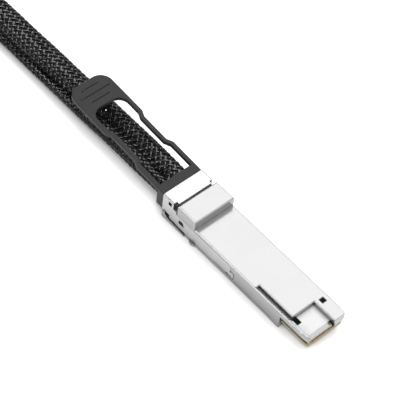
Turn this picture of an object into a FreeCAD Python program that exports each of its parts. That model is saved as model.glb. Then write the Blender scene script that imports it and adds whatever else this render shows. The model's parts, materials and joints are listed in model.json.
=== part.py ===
"""Passive direct attach cable: two double-density quad pluggable connectors on one sleeved twin cable.

Millimetres, +Z up, +X towards the contacts. The origin is on the near connector's underside, on its
centre line, below the cage stop face. The far connector is the same assembly, set down beside the near
one where the cable's U-turn brings it back.
"""
import FreeCAD, Part
import math
import os

os.makedirs("parts", exist_ok=True)
V = FreeCAD.Vector

# ---- shell envelope -------------------------------------------------------------------------
body_width = 18.35        # section that enters the cage
body_height = 8.5
nose_reach = 58.26        # cage stop to the tip of the nose
nose_length = 13.66       # part of it that overhangs the contact end
skirt_reach = nose_reach - nose_length
back_reach = 16.5         # cage stop back to the rear face
hump_length = 9.3         # raised block whose front face is the cage stop
hump_height = body_height + 4.1
edge_round = 0.4          # outside edges of the castings
hump_slot_deep = 1.6      # slot between the hump and the yoke, below the yoke's seat
yoke_pocket_half = 7.1    # at both ends of the slot a pocket runs back under the yoke, from here outwards
half = body_width / 2

# ---- bottom cover ---------------------------------------------------------------------------
cover_thick = 1.4
end_lip = 4.1             # upper shell's full-depth rim ahead of the cover
cover_reach = skirt_reach - end_lip
parting_groove = 0.22
parting_start = 3.0       # how far ahead of the slider's arm the parting groove begins
ledge_reach = 0.42        # how far the rear ledge stands out sideways
ledge_overlap = 0.5       # depth to which the lip is rooted in the ledge
ledge_front = 4.6         # cage stop back to the ledge's front end
ledge_low = 0.9           # ledge height at its front end
ledge_lip = 0.34          # lip outside the slider's step
ledge_tall = 3.3          # height of the lip at the rear face
lug_length = 3.6          # rounded side lug at the cage stop
lug_reach = 0.75
lug_back = 0.35           # how far the lug's centre lies behind the stop
lug_height = 1.2
lug_root = 0.3            # how deep the lug reaches into the cover

# ---- latch slider (bent sheet) --------------------------------------------------------------
sheet = 0.4
slide_gap = 0.08          # running gap on every face of the slider
slider_travel = 2.5
yoke_height = body_height + 3.2   # top face of the yoke
yoke_back = 0.5           # how far the yoke reaches past the rear face
yoke_front = 10.4         # cage stop back to the yoke's front edge
yoke_corner = 1.15        # relief at each front corner of the yoke's top
yoke_relief = 1.6         # width of that relief
neck_height = body_height # where the side plate steps down behind the hump
neck_front = 9.8
arm_top = body_height - 1.1
arm_low = 1.9
plate_low = 3.6           # lower edge of the side plate at the rear
plate_step = back_reach - 3.6     # cage stop back to the step in that edge
arm_reach = 18.9
tip_reach = arm_reach + 1.9       # end of the release tip
joggle_start = 10.0       # the arm steps inwards here
joggle_length = 2.0
joggle_depth = 0.12
tip_low = 2.2
tip_top = 5.1
tip_round = 0.45
tip_room = 0.3            # space round the tip
relief = 0.75             # square reliefs where the tip is formed out of the arm
bend_round = 0.6
window_back = 8.1         # finger window, measured back from the cage stop
window_front = 5.2
window_low = 4.0
window_top = 6.25
sight_back = back_reach - 2.4     # small square window near the top
sight_front = sight_back - 1.7
sight_low = yoke_height - 2.9
sight_top = sight_low + 1.9
pocket_past = 0.5         # how far the pocket behind that window reaches past it
finger_half = 0.8
finger_reach = 1.5        # how far the formed finger reaches inwards
tongue_half = 6.0         # tongue moulded into the pull tab
tongue_length = 2.8
tongue_drop = 0.95

# ---- return springs -------------------------------------------------------------------------
spring_diameter = 1.3
spring_wire = 0.24
spring_turns = 5
spring_back = back_reach - 2.7    # cage stop back to the spring's seat
spring_clear = 0.1
spring_pocket_high = 2.4

# ---- cable ----------------------------------------------------------------------------------
jacket_radius = 2.95      # each of the two cables
jacket_offset = 3.4       # half of their spacing
sleeve_wall = 0.5
sleeve_clear = 0.12
cable_height = body_height - 2.6  # cable axis where it leaves the shell
rear_wall = 2.4
sleeve_grip = 2.2         # length of sleeve held inside the rear wall
jacket_front = 1.0        # cage stop back to the jackets' cut ends
ferrule_length = 3.2
ferrule_wall = 0.35
chamber_clear = 0.1

# ---- inside ---------------------------------------------------------------------------------
side_wall = 1.55          # front chamber to the outside
roof = 1.6
bulkhead = 1.6
board_thick = 1.0
board_low = body_height / 2 - 1.4         # underside of the paddle card
board_inset = 0.2         # card's contact edge behind the nose's tip
board_front = nose_reach - board_inset
board_length = 32.06
board_back = board_front - board_length
board_inner_half = 7.3
board_width = 16.42       # width of the contact end
board_gap = 0.06
board_step = 0.3          # wide end starts this far past the skirt
board_corner = 0.5
pad_pitch = 0.8
pad_count = 19
pad_width = 0.54
pad_thick = 0.04
pad_rows = ((1.9, 1.5), (7.0, 1.9))       # start behind the contact edge, and length, of each row
post_x = board_back + 5           # posts that hold the card
post_length = 3.0
post_width = 1.7
boss_x = (3.0, board_back - 4.5)
boss_radius = 1.5
screw_radius = 0.8
screw_head = 1.45
screw_head_high = 0.85
screw_length = 4.2
screw_clear = 0.05
boss_clear = 0.15
pair_width = 1.05
pair_high = 0.7
pair_pitch = 1.4
pair_first = 2.4          # card position of the innermost pair
pairs_per_cable = 4
pair_bundle_gap = 0.06
pair_spread = 1.6         # how far apart the two rows start, against touching rows
pair_stop = 0.8           # how far a pair's insulation runs onto the card
wire_size = 0.25
wire_length = 1.8
bar_thick = 0.3
foam_length = 8.0
foam_x = board_back - 15
foam_thick = 0.65
foam_gap = 0.2
chip_size = (3.0, 4.4, 0.9)
chip_place = (board_back + 10, 3.6)
capacitor_size = (1.0, 0.5, 0.5)
capacitor_x = board_back + 15
capacitor_pitch = 1.1
capacitor_count = 8

# ---- nose and top of the upper shell --------------------------------------------------------
nose_under = body_height - 3.85   # underside of the nose
nose_side = body_height - 2.2     # lower edge of the nose at its sides
flare = 0.3               # chamfer round the openings in the top
recess_back = nose_reach - 10.16  # open recess in the top of the nose
recess_right = 3.45
recess_left = 8.0
recess_floor = body_height - 2.2
recess_step = recess_back + 2.9   # the recess widens to the left from here
recess_step_left = 6.9
lead_in_front = nose_reach - 0.56
lead_in_length = 1.5
lead_in_low = nose_under + 0.95
groove_length = 16.7      # long groove beside the left edge
groove_width = 1.45
groove_centre = 7.6
groove_depth = 1.6
groove_floor = 0.8        # metal left under the groove
corner_hole = 2.7         # hole in the recess corner, along the nose
corner_hole_wide = 2.3
lock_hole = 2.0           # square pocket right of the recess
lock_hole_x = recess_back + 0.4
lock_hole_y = 5.15
lock_hole_deep = 1.9      # at its back, rising to half of that
wall_notch = 0.5          # notch at the foot of the recess's right wall
nose_chamfer_long = 3.0
nose_chamfer_wide = 0.75

# ---- pull tab -------------------------------------------------------------------------------
tab_thick = 1.7
tab_slope = 3.9           # degrees, rising away from the shell
tab_front_height = yoke_height - 0.25
tab_gap = 0.05
tab_length = 55.2
tab_band = 4.0
tab_arm = 1.6
tab_half = 8.95           # half width beside the band
tab_waist_half = 7.65
tab_head_half = 8.8
waist_start = 15.0        # distances from the front edge of the tab
waist_end = 30.5
waist_ramp = 2.6
head_round = 5.2
opening_end = 42.95
opening_round = 4.2
leg_low = 3.3
leg_length = 3.4
leg_round = 0.5
tab_round = 0.35
rib_places = ((46.0, 4.2, 0.0), (49.0, 6.2, 0.5), (52.05, 3.2, 0.7))   # grip grooves: x, half length, y
rib_width = 0.42
rib_depth = 0.3
dimple_places = ((49.15, -6.5), (51.95, -3.7))
dimple_radius = 0.35

# ---- cable route between the two rear walls -----------------------------------------------------
cable_lift = 0.07         # how high the sleeve lies over the ground
lying = jacket_radius + sleeve_wall + cable_lift
start_x = sleeve_grip - back_reach
route = (
    (start_x, 0, cable_height), (-34, 0, cable_height), (-67, 0.9, 4), (-106, 0.9, lying), (-148, 0.2, lying),
    (-187, -21, lying), (-209.5, -59.5, lying), (-210, -104, lying), (-188.5, -143, lying),
    (-150, -165.3, lying), (-109, -167.6, lying), (-69, -167.2, lying), (-32, -167.4, cable_height),
    (-1.2, -167.4, cable_height),
)


def block(x0, x1, y0, y1, z0, z1):
    return Part.makeBox(x1 - x0, y1 - y0, z1 - z0, V(x0, y0, z0))


def across(x0, x1, half_width, z0, z1):
    return block(x0, x1, -half_width, half_width, z0, z1)


def side_outline(points, y0, y1):
    """A prism whose outline is given as (x, z) and whose thickness runs along Y."""
    wire = Part.makePolygon([V(x, y0, z) for x, z in points + points[:1]])
    return Part.Face(wire).extrude(V(0, y1 - y0, 0))


def plan_outline(points, z0, z1):
    """A prism whose outline is given as (x, y)."""
    wire = Part.makePolygon([V(x, y, z0) for x, y in points + points[:1]])
    return Part.Face(wire).extrude(V(0, 0, z1 - z0))


def end_outline(points, x0, x1):
    """A prism whose outline is given as (y, z) and whose length runs along X."""
    wire = Part.makePolygon([V(x0, y, z) for y, z in points + points[:1]])
    return Part.Face(wire).extrude(V(x1 - x0, 0, 0))


def mirrored(shape):
    return shape.mirror(V(0, 0, 0), V(0, 1, 0))


def on_both_sides(shapes):
    return [copy for shape in shapes for copy in (shape, mirrored(shape))]


def rod(x0, x1, y, z, radius):
    return Part.makeCylinder(radius, x1 - x0, V(x0, y, z), V(1, 0, 0))


def stadium(radius, x0=0.0, y=0.0, z=0.0, offset=jacket_offset):
    """The outline of two round cables side by side, as a closed wire across X."""
    top, bottom = z + radius, z - radius
    right, left = y + offset, y - offset
    return Part.Wire([
        Part.LineSegment(V(x0, left, top), V(x0, right, top)).toShape(),
        Part.Arc(V(x0, right, top), V(x0, right + radius, z), V(x0, right, bottom)).toShape(),
        Part.LineSegment(V(x0, right, bottom), V(x0, left, bottom)).toShape(),
        Part.Arc(V(x0, left, bottom), V(x0, left - radius, z), V(x0, left, top)).toShape(),
    ])


def stadium_bore(radius, x0, x1):
    return Part.Face(stadium(radius, x0, 0, cable_height)).extrude(V(x1 - x0, 0, 0))


def edges_along(shape, axis, test):
    """The straight edges along an axis whose middle point passes the test."""
    found = []
    for edge in shape.Edges:
        if edge.Curve.TypeId != "Part::GeomLine":
            continue
        first, last = edge.Vertexes[0].Point, edge.Vertexes[-1].Point
        if abs((last - first).normalize().dot(axis)) > 0.999 and test((first + last) * 0.5):
            found.append(edge)
    return found


# ---- upper shell ----------------------------------------------------------------------------
rear_half = half - sheet - slide_gap
rear_top = yoke_height - sheet - slide_gap
chamber_half = half - side_wall
board_top = board_low + board_thick


def upper_outside():
    body = across(-hump_length, 0, half, cover_thick, hump_height).fuse([
        across(0, skirt_reach, half, cover_thick, body_height),
        across(cover_reach, skirt_reach, half, 0, body_height),
        across(skirt_reach, nose_reach, half, nose_under, body_height),
    ]).removeSplitter()
    long_edges = edges_along(body, V(1, 0, 0), lambda p: abs(abs(p.y) - half) < 0.01 and p.z > nose_side)
    front_edge = edges_along(body, V(0, 1, 0), lambda p: p.z > body_height + 0.01)
    body = body.makeChamfer(edge_round, long_edges + front_edge)
    return body.fuse(across(-back_reach, -hump_length, rear_half, cover_thick, rear_top))


def slider_room():
    """What the slider, its springs and its formed fingers need on one side of the shell."""
    deep, open_side = rear_half, half + 1
    spring_y = half - sheet - slide_gap - finger_reach - spring_clear
    middle = (window_low + window_top) / 2
    tip_back = tip_reach - 2 * tip_round - slider_travel - tip_room
    return [
        block(-hump_length - 1, arm_reach + slide_gap, deep, open_side, arm_low - slide_gap,
              arm_top + slide_gap),
        block(tip_back, tip_reach + tip_room, deep - tip_round, open_side, tip_low - tip_room,
              tip_top + tip_room),
        block(-spring_back, -window_front + 3 * slide_gap, spring_y, open_side,
              middle - spring_pocket_high / 2, middle + spring_pocket_high / 2),
        block(-back_reach + 1.2, -plate_step + 0.4, spring_y, open_side, cover_thick + 0.2,
              plate_low + slide_gap),
    ]


def chambers():
    """Where the cable, its ferrules, the pairs and the card lie."""
    ferrule_radius = jacket_radius + ferrule_wall
    return [
        stadium_bore(ferrule_radius + chamber_clear, -back_reach + rear_wall, -jacket_front),
        stadium_bore(jacket_radius + sleeve_wall + sleeve_clear, -back_reach - 1,
                     -back_reach + rear_wall),
        across(-back_reach - 1, -back_reach + rear_wall, chamber_half + 0.2, 0, cable_height),
        across(-jacket_front, skirt_reach - bulkhead, chamber_half, 0, body_height - roof),
        across(skirt_reach - bulkhead, skirt_reach, board_inner_half + board_gap,
               board_low - board_gap, board_top + board_gap),
    ]


def outline_at(x0, x1, y0, y1, z):
    corners = [V(x0, y0, z), V(x1, y0, z), V(x1, y1, z), V(x0, y1, z), V(x0, y0, z)]
    return Part.makePolygon(corners)


def pocket(x0, x1, y0, y1, floor, back=flare, front=0, left=flare, right=flare):
    """What a pocket takes out of the top: straight walls, with a chamfered rim on the sides that flare."""
    neck = body_height - flare
    rim = Part.makeLoft([outline_at(x0, x1, y0, y1, neck),
                         outline_at(x0 - back, x1 + front, y0 - left, y1 + right, body_height)], True)
    above = block(x0 - back, x1 + front, y0 - left, y1 + right, body_height, body_height + 1)
    return block(x0, x1, y0, y1, floor, neck).fuse([rim, above])


def top_features():
    over, beyond = body_height + 1, nose_reach + 1
    groove_left, groove_right = -groove_centre - groove_width / 2, -groove_centre + groove_width / 2
    wide = pocket(recess_back, beyond, -recess_step_left, recess_right, recess_floor, left=0)
    wider = block(recess_step, beyond, -recess_left, 0, recess_floor, over)
    lead_in_back = lead_in_front - lead_in_length
    lead_in = side_outline([
        (lead_in_back, recess_floor), (lead_in_front, lead_in_low), (lead_in_front, nose_under - 1),
        (beyond, nose_under - 1), (beyond, recess_floor),
    ], -recess_left, recess_right)
    groove = pocket(recess_back - groove_length, recess_back + flare, groove_left, groove_right,
                    body_height - groove_depth)
    groove_end = block(recess_back, recess_step + flare, groove_left, groove_right,
                       body_height - groove_depth, over)
    corner_left = -recess_step_left - 0.1
    corner = block(recess_back, recess_back + corner_hole, corner_left,
                   corner_left + corner_hole_wide, nose_under - 1, over)
    lock = side_outline([
        (lock_hole_x, over), (lock_hole_x, body_height - lock_hole_deep),
        (lock_hole_x + lock_hole, body_height - lock_hole_deep / 2), (lock_hole_x + lock_hole, over),
    ], lock_hole_y, lock_hole_y + lock_hole)
    notch = block(lead_in_back, beyond, recess_right - 0.1, recess_right + wall_notch, nose_under - 1,
                  recess_floor + wall_notch)
    chamfer = plan_outline([
        (nose_reach - nose_chamfer_long, half), (nose_reach, half - nose_chamfer_wide),
        (beyond, half - nose_chamfer_wide), (beyond, half + 1), (nose_reach - nose_chamfer_long, half + 1),
    ], nose_under - 1, over)
    rise = nose_side - nose_under
    under = end_outline([(half - rise, nose_under), (half, nose_side), (half, nose_under)],
                        skirt_reach, beyond)
    groove_line = block(arm_reach + parting_start, cover_reach, half - parting_groove, half + 1, cover_thick,
                        cover_thick + parting_groove)
    return [wide, wider, lead_in, groove, groove_end, corner, lock, notch] + on_both_sides(
        [chamfer, under, groove_line])


def boss(x):
    return Part.makeCylinder(boss_radius, body_height - roof - cover_thick, V(x, 0, cover_thick))


def card_post(z0, z1):
    inner = board_inner_half - post_width
    return block(post_x, post_x + post_length, inner, board_inner_half, z0, z1)


def yoke_slot():
    """The slot between the hump and the yoke, and the pockets that run back from it behind the windows."""
    back, front = -sight_back - pocket_past, -hump_length
    slot = across(-yoke_front, front, half, rear_top - hump_slot_deep, rear_top + 1)
    ends = on_both_sides([block(back, front, yoke_pocket_half, half, neck_height, rear_top + 1)])
    return [slot] + ends


def groove_rib():
    """Metal under the long groove, where it lies over the card's chamber."""
    low = body_height - groove_depth - groove_floor
    inner = groove_centre - groove_width / 2 - groove_floor
    return block(recess_back - groove_length - groove_floor, skirt_reach - bulkhead, -chamber_half, -inner,
                 low, body_height - roof)


def upper_shell():
    shell = upper_outside()
    shell = shell.cut(chambers() + on_both_sides(slider_room()) + yoke_slot()).fuse(groove_rib())
    shell = shell.cut(top_features())
    shell = shell.fuse([boss(x) for x in boss_x] + on_both_sides([card_post(board_top, body_height - roof)]))
    pilots = [Part.makeCylinder(screw_radius + screw_clear, screw_length + screw_clear, V(x, 0, 0))
              for x in boss_x]
    return shell.cut(pilots).removeSplitter()


# ---- bottom cover ---------------------------------------------------------------------------
def ledge():
    """The rear ledge under the slider's side plate, with the lip that guards the slider's step."""
    back, front = -back_reach, -ledge_front
    top = arm_low - 2 * slide_gap
    travel_end = -plate_step - slider_travel - slide_gap
    base = side_outline([(back, 0), (front, 0), (front, ledge_low), (travel_end, top), (back, top)],
                        rear_half, half + ledge_reach)
    outer = half + ledge_reach
    root = top - ledge_overlap
    lip = side_outline([(back, root), (-plate_step - 0.4, root), (travel_end, ledge_tall),
                        (back, ledge_tall)], outer - ledge_lip, outer)
    return base.fuse(lip)


def side_lug():
    """A segment of a round boss that stands out of the side at the cage stop."""
    radius = ((lug_length / 2) ** 2 + lug_reach ** 2) / (2 * lug_reach)
    disc = Part.makeCylinder(radius, lug_height, V(-lug_back, half + lug_reach - radius, 0))
    return disc.common(block(-lug_length, lug_length, half - lug_root, half + lug_reach, 0, lug_height))


def lower_shell():
    cover = across(-back_reach, cover_reach, half, 0, cover_thick)
    cover = cover.cut(on_both_sides([block(-back_reach, -ledge_front, rear_half, half, 0, cover_thick)]))
    saddle = across(-back_reach, -back_reach + rear_wall, chamber_half + 0.15, cover_thick, cable_height)
    saddle = saddle.cut(stadium_bore(jacket_radius + sleeve_wall + sleeve_clear, -back_reach - 1, 0))
    cover = cover.fuse([saddle] + on_both_sides([ledge(), side_lug(), card_post(cover_thick, board_low)]))
    for x in boss_x:
        cover = cover.cut([
            Part.makeCylinder(screw_radius + screw_clear, cover_thick, V(x, 0, 0)),
            Part.makeCone(screw_head + screw_clear, screw_radius + screw_clear, screw_head_high, V(x, 0, 0)),
        ])
    cover = cover.removeSplitter()
    bottom = edges_along(cover, V(1, 0, 0), lambda p: abs(p.y) > half - 0.01 and p.z < 0.01)
    return cover.makeChamfer(edge_round / 2, bottom)


def shell_screws():
    """Two countersunk screws, their heads flush with the underside."""
    screws = []
    for x in boss_x:
        head = Part.makeCone(screw_head, screw_radius, screw_head_high, V(x, 0, 0))
        shank = Part.makeCylinder(screw_radius, screw_length, V(x, 0, 0))
        slot = across(x - screw_head, x + screw_head, 0.2, 0, 0.35)
        screws.append(head.fuse(shank).cut(slot).removeSplitter())
    return Part.makeCompound(screws)


# ---- latch slider ---------------------------------------------------------------------------
def bent_section(x0, x1):
    """The slider's U section: one sheet over the top and down both sides."""
    outside = across(x0, x1, half, 0, yoke_height)
    outside = outside.makeFillet(bend_round, edges_along(
        outside, V(1, 0, 0), lambda p: p.z > yoke_height - 0.01))
    inside = across(x0, x1, half - sheet, -1, yoke_height - sheet)
    inside = inside.makeFillet(bend_round - sheet, edges_along(
        inside, V(1, 0, 0), lambda p: p.z > yoke_height - sheet - 0.01))
    return outside.cut(inside)


def slider_outline():
    """The side view of the slider, from the yoke to the release tip."""
    back = -back_reach - yoke_back
    return [
        (back, plate_low), (-plate_step, plate_low), (-plate_step, arm_low),
        (arm_reach - 2 * relief, arm_low), (arm_reach - 2 * relief, arm_low + relief),
        (arm_reach - relief, arm_low + relief), (arm_reach - relief, tip_low), (tip_reach, tip_low),
        (tip_reach, tip_top), (arm_reach + relief, tip_top), (arm_reach + relief, tip_top - relief),
        (arm_reach, tip_top - relief), (arm_reach, arm_top),
        (-neck_front, arm_top), (-neck_front, neck_height), (-yoke_front - yoke_corner, neck_height),
        (-yoke_front - yoke_corner, yoke_height), (back, yoke_height),
    ]


def finger_window():
    low, top, back, front = window_low, window_top, -window_back, -window_front
    quarter = (front - back) / 4
    return side_outline([
        (back, low), (front, low + 0.1), (front - quarter, top - 0.45), (front - 2 * quarter, top),
        (back + quarter, top - 0.5), (back, top - 0.1),
    ], -half - 1, half + 1)


def latch_slider():
    back = -back_reach - yoke_back
    mask = side_outline(slider_outline(), -half, half).fuse(
        across(back, -yoke_front, half - yoke_relief, neck_height, yoke_height))
    slider = bent_section(back, tip_reach).common(mask)
    sight = across(-sight_back, -sight_front, half + 1, sight_low, sight_top)
    thinned = plan_outline([
        (joggle_start, half), (joggle_start + joggle_length, half - joggle_depth),
        (tip_reach + 1, half - joggle_depth), (tip_reach + 1, half + 1), (joggle_start, half + 1),
    ], 0, arm_top + 1)
    slider = slider.cut([finger_window(), sight] + on_both_sides([thinned]))
    middle = (window_low + window_top) / 2
    finger = block(-window_back - sheet, -window_back, half - sheet - finger_reach, half - sheet,
                   middle - finger_half, middle + finger_half)
    tip = Part.makeCylinder(tip_round, tip_top - tip_low,
                            V(tip_reach - tip_round, half - sheet, tip_low))
    tongue_top = yoke_height - tongue_drop
    tongue = across(back - tongue_length, back, tongue_half, tongue_top - sheet, tongue_top)
    joggle = across(back, back + sheet, tongue_half, tongue_top - sheet, yoke_height - sheet / 2)
    return slider.fuse(on_both_sides([finger, tip]) + [tongue, joggle]).removeSplitter()


def return_spring():
    """One compression spring, from its seat in the shell to the slider's formed finger."""
    length = spring_back - window_back - sheet
    pitch = (length - spring_wire) / spring_turns
    radius = (spring_diameter - spring_wire) / 2
    helix = Part.makeHelix(pitch, pitch * spring_turns, radius)
    section = Part.Wire(Part.makeCircle(spring_wire / 2, V(radius, 0, 0), V(0, 1, 0)))
    coil = helix.makePipeShell([section], True, True)
    coil.rotate(V(0, 0, 0), V(0, 1, 0), 90)
    spring_y = half - sheet - slide_gap - spring_diameter / 2
    coil.translate(V(-spring_back + spring_wire / 2, spring_y, (window_low + window_top) / 2))
    return coil


# ---- pull tab -------------------------------------------------------------------------------
def tab_outline(inset, head_end, corner, start):
    """One closed outline of the tab, straight at the shell end and rounded at the head."""
    wide, waist, head = tab_half - inset, tab_waist_half - inset, tab_head_half - inset
    ends = (waist_start, waist_start + waist_ramp, waist_end, waist_end + waist_ramp)
    side = [(start, wide), (ends[0], wide), (ends[1], waist), (ends[2], waist), (ends[3], head),
            (head_end - corner, head)]
    right = [V(-x, y, 0) for x, y in side]
    left = [V(-x, -y, 0) for x, y in reversed(side)]
    turn = corner * (1 - math.sqrt(0.5))
    shoulder_right, shoulder_left = V(-head_end, head - corner, 0), V(-head_end, corner - head, 0)
    edges = [Part.LineSegment(a, b).toShape() for a, b in zip(right, right[1:])]
    edges.append(Part.Arc(right[-1], V(-head_end + turn, head - turn, 0), shoulder_right).toShape())
    edges.append(Part.LineSegment(shoulder_right, shoulder_left).toShape())
    edges.append(Part.Arc(shoulder_left, V(-head_end + turn, turn - head, 0), left[0]).toShape())
    edges += [Part.LineSegment(a, b).toShape() for a, b in zip(left, left[1:])]
    edges.append(Part.LineSegment(left[-1], right[0]).toShape())
    return Part.Wire(edges)


def tab_plate():
    """The flat of the tab before it is tilted: x = 0 is its front edge, z = 0 its top face."""
    plate = Part.Face(tab_outline(0, tab_length, head_round, 0)).extrude(V(0, 0, -tab_thick))
    rim = edges_along(plate, V(1, 0, 0), lambda p: p.z > -0.01)
    plate = plate.makeFillet(tab_round, rim)
    opening = Part.Face(tab_outline(tab_arm, opening_end, opening_round, tab_band))
    plate = plate.cut(opening.extrude(V(0, 0, -tab_thick)))
    grooves = [block(-x - rib_width / 2, -x + rib_width / 2, y - long, y + long, -rib_depth, 1)
               for x, long, y in rib_places]
    dimples = [Part.makeCylinder(dimple_radius, rib_depth, V(-x, y, -rib_depth))
               for x, y in dimple_places]
    return plate.cut(grooves + dimples)


def pull_tab():
    front = -back_reach - yoke_back - tab_gap
    plate = tab_plate()
    plate.rotate(V(0, 0, 0), V(0, 1, 0), tab_slope)
    plate.translate(V(front, 0, tab_front_height))
    legs = on_both_sides([block(front - leg_length, front, tab_half - tab_arm, tab_half, leg_low,
                                tab_front_height - tab_thick / 2)])
    legs = [leg.makeFillet(leg_round, edges_along(
        leg, V(0, 1, 0), lambda p: p.z < leg_low + 0.01)) for leg in legs]
    square = across(front, front + 1, half, 0, yoke_height + 1)
    tongue_top = yoke_height - tongue_drop
    slot = across(front - tongue_length + tab_gap, front, tongue_half, tongue_top - sheet, tongue_top)
    return plate.fuse(legs).cut([square, slot]).removeSplitter()


# ---- inside pieces --------------------------------------------------------------------------
def cable_jacket(side):
    return rod(-back_reach + sleeve_grip, -jacket_front, side * jacket_offset, cable_height, jacket_radius)


def crimp_ferrule(side):
    x1 = -jacket_front - 0.4
    y = side * jacket_offset
    outer = rod(x1 - ferrule_length, x1, y, cable_height, jacket_radius + ferrule_wall)
    return outer.cut(rod(x1 - ferrule_length, x1, y, cable_height, jacket_radius))


def paddle_card():
    wide_start, wide = skirt_reach + board_step, board_width / 2
    outline = [(board_back, board_inner_half), (wide_start, board_inner_half), (wide_start, wide),
               (board_front - board_corner, wide), (board_front, wide - board_corner)]
    outline += [(x, -y) for x, y in reversed(outline)]
    return plan_outline(outline, board_low, board_top)


def contact_pads(z0):
    pads = []
    for back, length in pad_rows:
        start = board_front - back
        for index in range(pad_count):
            y = (index - (pad_count - 1) / 2) * pad_pitch
            pads.append(block(start, start + length, y - pad_width / 2, y + pad_width / 2, z0,
                              z0 + pad_thick))
    return Part.makeCompound(pads)


def twinax_pairs(level):
    """The shielded pairs of both cables that end on one face of the card: level 1 on top, -1 below."""
    on_card = board_top + pair_high / 2 if level > 0 else board_low - pair_high / 2
    at_cable = cable_height + level * (pair_high + pair_bundle_gap) / 2 * pair_spread
    x0, x1 = -jacket_front, board_back + pair_stop
    pairs = []
    for side in (-1, 1):
        for index in range(pairs_per_cable):
            y0 = side * (boss_radius + boss_clear + pair_width / 2 + index * (pair_width + pair_bundle_gap))
            y1 = side * (pair_first + index * pair_pitch)
            run = pair_section(x0, y0, at_cable).extrude(V(board_back - x0, y1 - y0, on_card - at_cable))
            flat = pair_section(board_back, y1, on_card).extrude(V(x1 - board_back, 0, 0))
            ends = [block(x1, x1 + wire_length, y1 + shift - wire_size / 2, y1 + shift + wire_size / 2,
                          on_card - level * pair_high / 2 - (wire_size if level < 0 else 0),
                          on_card - level * pair_high / 2 + (wire_size if level > 0 else 0))
                    for shift in (-pair_width / 4, pair_width / 4)]
            pairs.append(run.fuse([flat] + ends).removeSplitter())
    return Part.makeCompound(pairs)


def pair_section(x, y, z):
    corner = pair_high / 3
    long, high = pair_width / 2, pair_high / 2
    points = [(long, high - corner), (long - corner, high), (corner - long, high), (-long, high - corner),
              (-long, corner - high), (corner - long, -high), (long - corner, -high), (long, corner - high)]
    wire = Part.makePolygon([V(x, y + dy, z + dz) for dy, dz in points + points[:1]])
    return Part.Face(wire)


def ground_bar(level):
    """A bar over the shields of one row of pairs, just where they reach the card."""
    touch = board_top + pair_high if level > 0 else board_low - pair_high - bar_thick
    reach = pair_first + (pairs_per_cable - 1) * pair_pitch + pair_width / 2
    return across(board_back, board_back + pair_stop, reach, touch, touch + bar_thick)


def foam_pad():
    ceiling = body_height - roof
    return across(foam_x, foam_x + foam_length, chamber_half - foam_gap, ceiling - foam_thick, ceiling)


def memory_chip():
    (long, wide, high), (x, y) = chip_size, chip_place
    body = block(x - long / 2, x + long / 2, y - wide / 2, y + wide / 2, board_top, board_top + high)
    dot = Part.makeCylinder(0.25, 0.1, V(x - long / 3, y - wide / 3, board_top + high - 0.1))
    return body.cut(dot)


def capacitors():
    long, wide, high = capacitor_size
    first = -(capacitor_count - 1) / 2 * capacitor_pitch
    return Part.makeCompound([
        block(capacitor_x - long / 2, capacitor_x + long / 2, first + n * capacitor_pitch - wide / 2,
              first + n * capacitor_pitch + wide / 2, board_top, board_top + high)
        for n in range(capacitor_count)])


def connector():
    """Every piece of one connector, by name."""
    spring = return_spring()
    return {
        "upper_shell": upper_shell(),
        "lower_shell": lower_shell(),
        "shell_screws": shell_screws(),
        "latch_slider": latch_slider(),
        "pull_tab": pull_tab(),
        "return_spring_right": spring,
        "return_spring_left": mirrored(spring),
        "cable_jacket_right": cable_jacket(1),
        "cable_jacket_left": cable_jacket(-1),
        "crimp_ferrule_right": crimp_ferrule(1),
        "crimp_ferrule_left": crimp_ferrule(-1),
        "paddle_card": paddle_card(),
        "contact_pads_top": contact_pads(board_top),
        "contact_pads_bottom": contact_pads(board_low - pad_thick),
        "twinax_pairs_top": twinax_pairs(1),
        "twinax_pairs_bottom": twinax_pairs(-1),
        "ground_bar_top": ground_bar(1),
        "ground_bar_bottom": ground_bar(-1),
        "foam_pad": foam_pad(),
        "memory_chip": memory_chip(),
        "capacitors": capacitors(),
    }


# ---- sleeved cable --------------------------------------------------------------------------
def tangent_path(points):
    """Straight runs joined by tangent arcs, each as large as its two runs allow."""
    edges, at, radii = [], points[0], []
    for before, corner, after in zip(points, points[1:], points[2:]):
        back, ahead = before - corner, after - corner
        run = 0.45 * min(back.Length, ahead.Length)
        turn = math.pi - back.getAngle(ahead)
        radius = run / math.tan(turn / 2)
        back.normalize()
        ahead.normalize()
        first, last = corner + back * run, corner + ahead * run
        inward = (back + ahead).normalize()
        middle = corner + inward * (radius / math.cos(turn / 2) - radius)
        edges.append(Part.LineSegment(at, first).toShape())
        edges.append(Part.Arc(first, middle, last).toShape())
        radii.append(round(radius, 1))
        at = last
    edges.append(Part.LineSegment(at, points[-1]).toShape())
    return Part.Wire(edges), radii


def sleeved_cable():
    points = [V(*point) for point in route]
    path, radii = tangent_path(points)
    radius = jacket_radius + sleeve_wall
    start = points[0]
    pipe = Part.BRepOffsetAPI.MakePipeShell(path)
    pipe.setBiNormalMode(V(0, 0, 1))
    pipe.add(stadium(radius, start.x, start.y, start.z), False, False)
    pipe.build()
    pipe.makeSolid()
    solid = pipe.shape()
    area = math.pi * radius ** 2 + 4 * jacket_offset * radius
    print("cable length %.1f mm, arc radii %s" % (path.Length, radii))
    print("cable volume over section times length: %.4f" % (abs(solid.Volume) / (area * path.Length)))
    return solid


far_place = V(route[-1][0] - start_x, route[-1][1], 0)
print("far connector at x %.2f y %.2f" % (far_place.x, far_place.y))

for name, shape in connector().items():
    shape.exportStep("parts/near_%s.step" % name)
    far = shape.copy()
    far.translate(far_place)
    far.exportStep("parts/far_%s.step" % name)
    print("%-22s solids %d valid %s volume %.2f" % (name, len(shape.Solids), shape.isValid(), shape.Volume))

cable = sleeved_cable()
cable.exportStep("parts/sleeved_cable.step")
print("sleeved_cable solids %d valid %s volume %.1f" % (len(cable.Solids), cable.isValid(), cable.Volume))
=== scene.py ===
import json
import math
import bpy
import numpy as np
from mathutils import Matrix, Vector


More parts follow.
